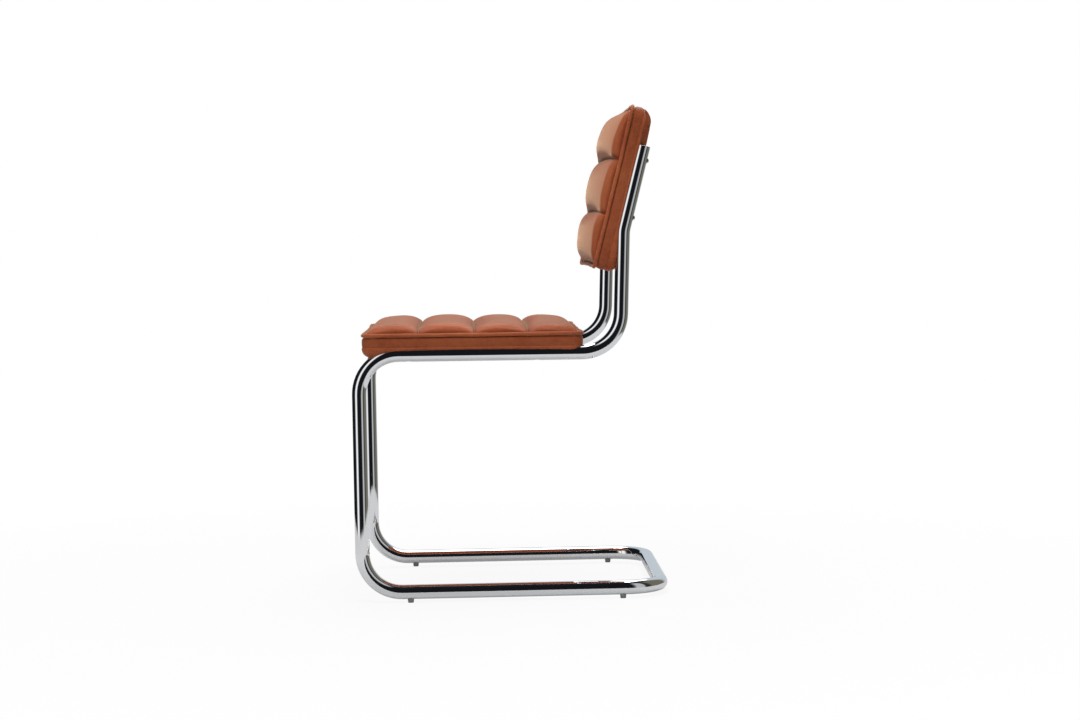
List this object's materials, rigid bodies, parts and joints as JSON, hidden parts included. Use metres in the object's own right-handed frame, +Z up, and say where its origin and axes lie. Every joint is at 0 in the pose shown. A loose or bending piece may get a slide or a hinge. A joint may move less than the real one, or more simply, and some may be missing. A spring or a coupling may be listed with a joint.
{
  "type": "cantilever chair",
  "caption": "Cantilever dining chair: a bent chromed steel tube frame with no rear legs, and a channelled leather seat pad and back pad edged with piping.",
  "frame": {"origin": "on the floor, in the middle of the frame's width and depth", "axes": "+Z up, -Y the way the sitter faces, +X the sitter's left"},
  "size_m": [0.477, 0.542, 0.8476],
  "materials": {
    "polished_chrome": "mirror polished chrome plate on steel tube",
    "cap_chrome": "polished chrome plate",
    "screw_chrome": "chrome plated, with fine wear at the socket",
    "plain_steel": "zinc plated, dull",
    "grey_plastic": "matt moulded plastic",
    "cognac_leather": "semi-aniline cognac leather with fine grain and soft sheen",
    "piping_leather": "the same leather, stretched round a cord",
    "plywood": "raw birch plywood",
    "foam": "moulded foam",
    "wadding": "polyester wadding"
  },
  "bodies": {
    "root": {"back_board": "plywood", "back_boxing": "cognac_leather", "back_foam": "foam", "back_front_cover": "cognac_leather", "back_padding": "wadding", "back_piping": "piping_leather", "back_rear_cover": "cognac_leather", "back_screws": "screw_chrome", "back_threaded_inserts": "plain_steel", "frame_joint_sleeve": "plain_steel", "frame_tube_left": "polished_chrome", "frame_tube_right": "polished_chrome", "glide_front_left": "grey_plastic", "glide_front_right": "grey_plastic", "glide_rear_left": "grey_plastic", "glide_rear_right": "grey_plastic", "seat_board": "plywood", "seat_boxing": "cognac_leather", "seat_foam": "foam", "seat_padding": "wadding", "seat_piping": "piping_leather", "seat_screws": "plain_steel", "seat_threaded_inserts": "plain_steel", "seat_top_cover": "cognac_leather", "seat_under_cover": "cognac_leather", "tube_cap_left": "cap_chrome", "tube_cap_right": "cap_chrome"}
  },
  "joints": []
}
